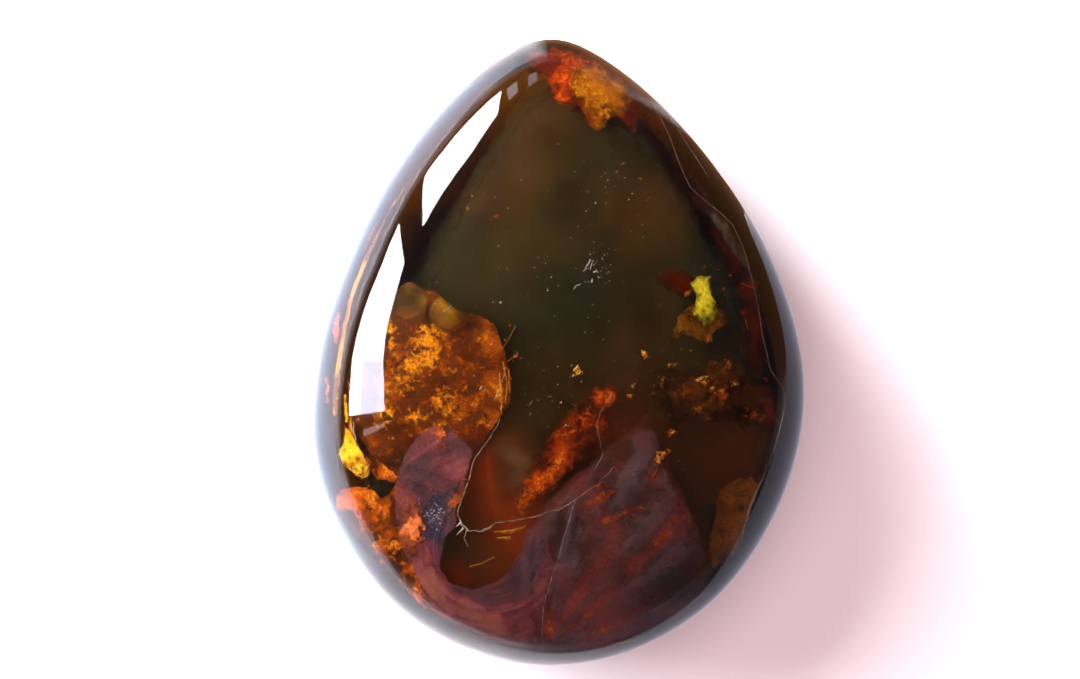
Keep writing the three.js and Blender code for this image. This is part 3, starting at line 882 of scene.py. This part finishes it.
# Patches of crust behind the flanks, all the way round below the girth
flankCrust = dict(
    outlines=[
        [(a + w * math.cos(t * 0.9), z + h * math.sin(t * 0.9) * (1 + 0.3 * math.cos(3 * t)))
         for t in range(7)]
        for a, z, w, h in [
            (12, 8, 7, 2.2), (50, 7, 9, 2.0), (96, 8, 7, 2.4), (135, 7, 8, 2.2), (172, 8, 9, 2.6),
            (205, 8.5, 8, 2.8), (243, 7.5, 9, 2.4), (282, 8, 8, 2.6), (322, 7, 9, 2.2)]],
    cell=0.4, depth=2.2, thick=0.1, ragged=(0.6, 1.6), wave=(0.5, 3.0),
    tones=dict(glow=[(172, 8, 4, 0.6), (243, 8, 4, 0.6), (12, 8, 3, 0.4)],
               spark=[(205, 8.5, 2.5, 0.7), (282, 8, 2.0, 0.6), (96, 8, 2.0, 0.5), (322, 7, 1.5, 0.5)]))
makeFilm("flank_crust", flankCrust, crustFinish(
    "brown resin crust", ("#281204", "#6A340A", "#A8560E"), ("#B8560A", "#FFA030"),
    clot=1.3, body=0.9, fade=0.8), lay=behindFlank)


# Crack edges: thin pale ribbons that lean away from the eye, wider where the crack gapes
def makeCracks(name, spec, finish):
    bm = bmesh.new()
    for route in spec["routes"]:
        verts = [bm.verts.new((x, y, 0)) for x, y in route]
        edges = [bm.edges.new(pair) for pair in zip(verts, verts[1:])]
        bmesh.ops.subdivide_edges(bm, edges=edges, cuts=spec["cuts"])
    bmesh.ops.smooth_vert(bm, verts=[v for v in bm.verts if len(v.link_edges) == 2], factor=0.5,
                          use_axis_x=True, use_axis_y=True)
    extruded = bmesh.ops.extrude_edge_only(bm, edges=bm.edges[:])["geom"]
    lower = {item for item in extruded if isinstance(item, bmesh.types.BMVert)}
    segments = [(*a, *b) for route in spec["routes"] for a, b in zip(route, route[1:])]
    for vert in bm.verts:
        x, y, _ = vert.co
        shake = noise.noise_vector(Vector((x, y, 1)) / spec["shakeSize"]) * spec["shake"]
        ax, ay, bx, by = min(segments, key=lambda s: fromLine(x, y, *s))
        side = Vector((by - ay, ax - bx)).normalized()
        uneven = 0.55 + 0.45 * noise.noise(Vector((x, y, 9)) / 1.5)
        gape = spec["width"] * uneven + toneAt(x, y, spec["gapes"])
        x, y = x + shake.x, y + shake.y
        if vert in lower:
            vert.co = underDome(x + side.x * gape, y + side.y * gape, spec["depth"] + spec["drop"])
        else:
            vert.co = underDome(x, y, spec["depth"])
    for face in bm.faces:
        face.smooth = True
    return makePiece(name, bm, finish, spec["thick"])


# A crack that has let air in: white where it gapes and nearly clear where it is tight
def crackFinish(name, colour, body):
    finish, tree = newMaterial(name)
    place = addNode(tree, "TexCoord", out="Object")
    patchy = addNode(tree, "TexNoise", {
        "Vector": place, "Scale": 1 / (0.9 * mm), "Detail": 4.0, "Roughness": 0.6})
    seen = addNode(tree, "MapRange", {
        "Value": patchy, "From Min": 0.36, "From Max": 0.62, "To Min": body[0], "To Max": body[1]})
    shader = addNode(tree, "BsdfPrincipled", {
        "Base Color": hexColour(colour), "Roughness": 0.35, "Alpha": seen})
    addNode(tree, "OutputMaterial", {"Surface": shader})
    return finish


healedCracks = dict(
    routes=[
        [(-6.7, -7.7), (-8.0, -10.1), (-9.7, -12.3), (-10.4, -15.2), (-11.5, -17.8), (-11.6, -19.3),
         (-10.5, -20.8), (-8.9, -20.8), (-7.0, -19.8), (-3.1, -19.2), (0.5, -18.1), (4.7, -15.3),
         (6.5, -13.3)],
        [(6.2, -4.7), (4.7, -7.3), (4.4, -8.4), (5.0, -10.8), (5.1, -12.1), (4.3, -13.6)],
        [(1.9, -17.3), (0.6, -21.8), (-0.8, -26.5), (-1.8, -29.9), (-1.9, -33.6)],
        [(-10.6, -20.8), (-10.9, -21.6), (-10.5, -22.6)],
        [(-11.0, -20.6), (-11.7, -21.3)],
        [(-11.2, -20.0), (-12.2, -20.5)],
        [(-6.2, -2.5), (-6.7, -4.0), (-7.4, -5.7)],
        [(-13.4, 4.5), (-12.4, 5.6)],
        [(-24.0, -8.0), (-23.6, -10.5), (-23.0, -12.3), (-22.2, -13.0)]],
    cuts=6, depth=0.6, drop=0.4, width=0.035, thick=0.02, shake=0.2, shakeSize=0.6,
    gapes=[
        (-11.0, -20.3, 0.7, 0.22), (-8.0, -20.4, 1.4, 0.22), (-4.5, -19.5, 2.5, 0.08),
        (-10.6, -15.5, 1.6, 0.05), (-12.9, 5.1, 0.6, 0.16), (0.8, -17.9, 1.5, 0.04)])
makeCracks("healed_cracks", healedCracks, crackFinish("air in a crack", "#DCD4E0", (0.1, 0.95)))
# Pale line along the right shoulder, where its facet meets the dome: a real edge, its pale grey a painted
# highlight
ridgeEdgeHighlight = dict(
    routes=[
        [(11.1, 29.7), (12.8, 25.9), (14.6, 21.0), (15.4, 19.2), (18.2, 16.9), (20.6, 14.8), (22.1, 11.0),
         (23.4, 5.1), (23.9, 2.0), (24.7, -1.9), (26.5, -4.5)],
        [(26.7, -4.7), (26.5, -7.8), (25.1, -12.3), (23.6, -15.7), (22.0, -20.1), (21.1, -24.4)],
        [(13.0, 28.6), (15.2, 24.4), (17.6, 20.6)]],
    cuts=4, depth=0.4, drop=0.5, width=0.1, thick=0.03, shake=0.1, shakeSize=1.2,
    gapes=[(24.9, -2.4, 1.0, 0.25), (22.6, -18.0, 4.0, 0.4), (26.0, -9.0, 3.0, 0.3)])
makeCracks("ridge_edge_highlight", ridgeEdgeHighlight, crackFinish("grey ridge edge with painted highlight", "#B0A090", (0.4, 0.9)))
goldThreads = dict(
    routes=[
        [(-6.3, -1.2), (-5.9, -3.5), (-6.0, -6.0)], [(-6.8, -2.4), (-6.4, -5.2), (-6.6, -7.2)],
        [(-5.7, -2.0), (-5.6, -4.8)], [(-6.4, 0.3), (-4.9, 3.0)], [(-5.8, -1.2), (-4.9, -0.4)],
        [(-7.4, -20.9), (-5.6, -20.7), (-3.8, -20.2)], [(-7.0, -21.5), (-5.4, -21.4)],
        [(-10.2, -24.9), (-8.8, -24.6), (-7.4, -23.8)], [(2.0, 31.8), (3.0, 30.6), (3.4, 33.0)],
        [(3.0, 30.2), (4.2, 29.4), (5.2, 29.8)], [(3.6, 28.6), (4.6, 28.2), (5.2, 28.8)],
        [(-14.6, -24.4), (-16.8, -24.2)], [(-24.1, -7.6), (-23.7, -10.6), (-22.8, -12.6)],
        [(21.3, 8.0), (22.6, 7.4)], [(21.6, 3.7), (22.1, 2.5)]],
    cuts=3, depth=1.2, drop=0.4, width=0.14, thick=0.03, shake=0.15, shakeSize=0.7,
    gapes=[(-5.6, -20.7, 1.4, 0.35), (-6.2, -4.5, 1.5, 0.08), (-23.8, -9.8, 1.6, 0.3)])
makeCracks("gold_threads", goldThreads, crackFinish("gold thread of resin", "#E89A20", (0.5, 0.95)))


# A rough lump sealed under the dome
def addLump(bm, tone, x, y, depth, length, width, turn, shade, detail):
    lump = bmesh.ops.create_icosphere(bm, subdivisions=detail, radius=0.5)["verts"]
    for vert in lump:
        vert.co *= 1 + 0.5 * noise.noise(vert.co * 3 + Vector((x, y, 0)) * 5)
        vert[tone] = shade
    turned = Matrix.Rotation(math.radians(turn), 4, "Z")
    shape = turned @ Matrix.Diagonal((length * mm, width * mm, width * mm, 1))
    bmesh.ops.transform(bm, matrix=Matrix.Translation(underDome(x, y, depth)) @ shape, verts=lump)


def finishLumps(name, bm, finish):
    for face in bm.faces:
        face.smooth = True
    return makePiece(name, bm, finish)


# Crumbs of resin, from dark red through orange to pale gold by their shade
def crumbFinish(name, stops, roughness):
    finish, tree = newMaterial(name)
    place = addNode(tree, "TexCoord", out="Object")
    shade = addNode(tree, "Attribute", attribute_name="shade", out="Fac")
    speckle = addNode(tree, "TexNoise", {"Vector": place, "Scale": 1 / (0.35 * mm), "Detail": 3.0})
    mottled = addNode(tree, "Math", {0: speckle, 1: 0.5, 2: shade}, operation="MULTIPLY_ADD")
    centred = addNode(tree, "Math", {0: mottled, 1: 0.25}, operation="SUBTRACT")
    colour = addNode(tree, "ValToRGB", {"Fac": centred}, stops=stops)
    shader = addNode(tree, "BsdfPrincipled", {"Base Color": colour, "Roughness": roughness})
    addNode(tree, "OutputMaterial", {"Surface": shader})
    return finish


# Crumbs laid one by one: x, y, length, width, turn in degrees, shade
crumbs = dict(
    depth=1.2, core=0.55, chips=7, chipSize=(0.2, 0.45), scatter=0.32,
    laid=[
        (2.0, -2.0, 1.6, 0.6, 55, 1.0), (2.4, -2.5, 1.1, 0.45, 40, 0.95), (1.7, -2.8, 0.7, 0.3, 60, 0.9),
        (9.9, -0.2, 1.0, 0.8, 30, 0.85), (10.2, -0.6, 0.6, 0.5, 0, 0.7), (12.9, -1.5, 0.5, 0.4, 0, 0.7),
        (13.5, -1.5, 0.4, 0.3, 0, 0.65), (12.0, -3.3, 0.35, 0.3, 0, 0.7),
        (12.2, -3.0, 0.25, 0.25, 0, 0.6), (11.9, -3.7, 0.25, 0.2, 0, 0.5),
        (8.6, -4.0, 0.5, 0.35, 20, 0.55), (8.2, -5.1, 0.8, 0.5, 20, 0.6),
        (11.0, -4.9, 0.7, 0.35, 35, 0.3), (16.6, -3.1, 0.9, 0.7, 60, 0.9), (16.9, -3.6, 0.8, 0.6, 0, 0.8),
        (17.8, -4.3, 0.9, 0.5, 20, 0.8), (18.9, -4.6, 1.4, 1.0, 20, 0.45),
        (19.3, -5.3, 1.0, 1.2, 0, 0.35), (20.4, -3.8, 0.8, 0.4, -20, 0.8), (19.7, -1.4, 0.8, 0.6, 0, 0.5),
        (19.8, -1.8, 0.4, 0.3, 0, 0.7), (16.1, -6.8, 0.8, 0.7, 0, 0.45), (13.2, -9.4, 1.3, 0.7, 35, 0.62),
        (11.6, -12.4, 1.0, 0.9, 60, 0.72), (12.2, -11.8, 1.2, 0.9, 40, 0.6),
        (11.2, -14.2, 1.6, 0.9, 70, 0.12), (22.5, -7.5, 1.1, 0.6, 30, 0.3),
        (21.9, -6.7, 0.7, 0.4, 10, 0.25), (24.0, -3.2, 0.6, 0.6, 0, 0.05), (15.0, 6.8, 0.8, 0.75, 0, 0.5),
        (20.0, 8.8, 0.3, 0.25, 0, 0.7), (17.0, 9.8, 0.5, 0.3, 60, 0.25), (18.4, 9.5, 0.8, 0.3, -20, 0.2),
        (19.2, 7.2, 0.5, 0.25, 60, 0.4), (-5.0, -0.6, 0.8, 0.5, 50, 0.4),
        (-9.9, 18.1, 0.35, 0.3, 0, 0.65), (-10.5, 16.7, 0.4, 0.35, 0, 0.65),
        (-7.2, 15.7, 1.2, 0.35, 25, 0.25), (-7.8, 15.3, 0.6, 0.3, 0, 0.2), (6.7, 20.9, 0.3, 0.2, 30, 0.8),
        (7.5, 21.9, 0.9, 0.15, 40, 0.8), (9.5, 20.1, 0.3, 0.25, 0, 0.7), (-5.6, 3.0, 0.3, 0.2, 0, 0.6)])
bm = bmesh.new()
shade = bm.verts.layers.float.new("shade")
core, scatter = crumbs["core"], crumbs["scatter"]
for x, y, length, width, turn, tone in crumbs["laid"]:
    addLump(bm, shade, x, y, crumbs["depth"], length * core, width * core, turn, tone, detail=2)
    for _ in range(crumbs["chips"]):
        size, lighter = dice.uniform(*crumbs["chipSize"]) * width, tone + dice.uniform(-0.3, 0.15)
        aside, along = dice.gauss(0, length * scatter), dice.gauss(0, width * scatter)
        sunk = crumbs["depth"] + dice.uniform(-0.2, 0.4)
        addLump(bm, shade, x + aside, y + along, sunk, size * 1.5, size, aside * 400, lighter, detail=1)
finishLumps("gold_crumbs", bm, crumbFinish("crumb of resin", [
    (0.0, "#5A0C06"), (1.0, "#F4C048"), (0.3, "#A8380A"), (0.6, "#CC7A10")], roughness=0.4))

# Fine grains on the crusts, thickest where their crumbs are brightest
grains = dict(
    films=[(emberFlake, 0.95), (emberShoal, 0.75), (heartEmber, 0.45), (tipGold, 0.9), (brownCloud, 0.7)],
    perMm2=9.0, size=(0.08, 0.22), scatter=0.55, clump=0.9, sparse=-0.1)
bm = bmesh.new()
shade = bm.verts.layers.float.new("shade")
for film, brightest in grains["films"]:
    for *ends, spread, strength in film["tones"]["spark"]:
        ax, ay, bx, by = (ends + ends)[:4]
        area = spread * (spread + math.hypot(bx - ax, by - ay))
        for _ in range(round(grains["perMm2"] * strength ** 2 * area)):
            along = dice.random()
            x = ax + along * (bx - ax) + dice.gauss(0, spread * grains["scatter"])
            y = ay + along * (by - ay) + dice.gauss(0, spread * grains["scatter"])
            size, tone = dice.uniform(*grains["size"]), brightest * strength * dice.uniform(0.5, 1.0)
            sunk, turn = dice.uniform(0.1, 0.5), dice.uniform(0, 180)
            if noise.noise(Vector((x, y, 2)) / grains["clump"]) > grains["sparse"]:
                addLump(bm, shade, x, y, film["depth"] - sunk, size * 1.4, size, turn, tone, detail=1)
finishLumps("ember_grains", bm, crumbFinish("grain of resin", [
    (0.0, "#7A2606"), (1.0, "#FFC030"), (0.4, "#CC640A"), (0.75, "#F89814")], roughness=0.5))

# Pale flecks and dust: x, y, length, width, turn, and clouds of dust as x, y, spread, count
dust = dict(
    depth=0.4, size=(0.05, 0.13), scatter=0.6, fleckShade=0.65,
    flecks=[
        (3.45, 10.15, 1.3, 0.16, 57), (3.8, 9.9, 0.9, 0.12, 75), (3.1, 9.5, 0.6, 0.12, 30),
        (4.3, 9.3, 0.5, 0.2, 20), (3.9, 8.2, 0.5, 0.16, 80), (2.25, 7.7, 0.8, 0.12, 20),
        (1.9, 7.4, 0.4, 0.1, 60), (4.7, 8.6, 0.25, 0.15, 0), (-6.7, 5.7, 0.3, 0.25, 0),
        (-9.0, -4.2, 0.6, 0.15, 60), (-3.2, -6.0, 0.7, 0.06, 60), (-1.0, -5.2, 0.5, 0.06, 10),
        (0.3, -5.9, 0.3, 0.15, 40)],
    clouds=[
        (4.5, 10.2, 1.6, 45), (-14.4, -19.0, 1.1, 90), (0.0, 6.0, 13.0, 90), (-2.0, -4.0, 4.0, 25),
        (6.0, 20.0, 7.0, 25), (12.0, -3.0, 5.0, 25)])
bm = bmesh.new()
shade = bm.verts.layers.float.new("shade")
for x, y, length, width, turn in dust["flecks"]:
    addLump(bm, shade, x, y, dust["depth"], length, width, turn, dust["fleckShade"], detail=2)
for cx, cy, spread, count in dust["clouds"]:
    away = spread * dust["scatter"]
    for _ in range(count):
        x, y = cx + dice.gauss(0, away), cy + dice.gauss(0, away)
        size, turn = dice.uniform(*dust["size"]), dice.uniform(0, 180)
        sunk, tone = dice.uniform(0.0, 0.7), dice.uniform(0.2, 1.0)
        if insideBy(x, y, turbidCloud["outlines"][0]) > 0:
            addLump(bm, shade, x, y, dust["depth"] + sunk, size * 2, size, turn, tone, detail=1)
finishLumps("pale_dust", bm, crumbFinish("pale dust", [
    (0.0, "#3A3434"), (1.0, "#D8DCEC"), (0.5, "#8A8488")], roughness=0.5))
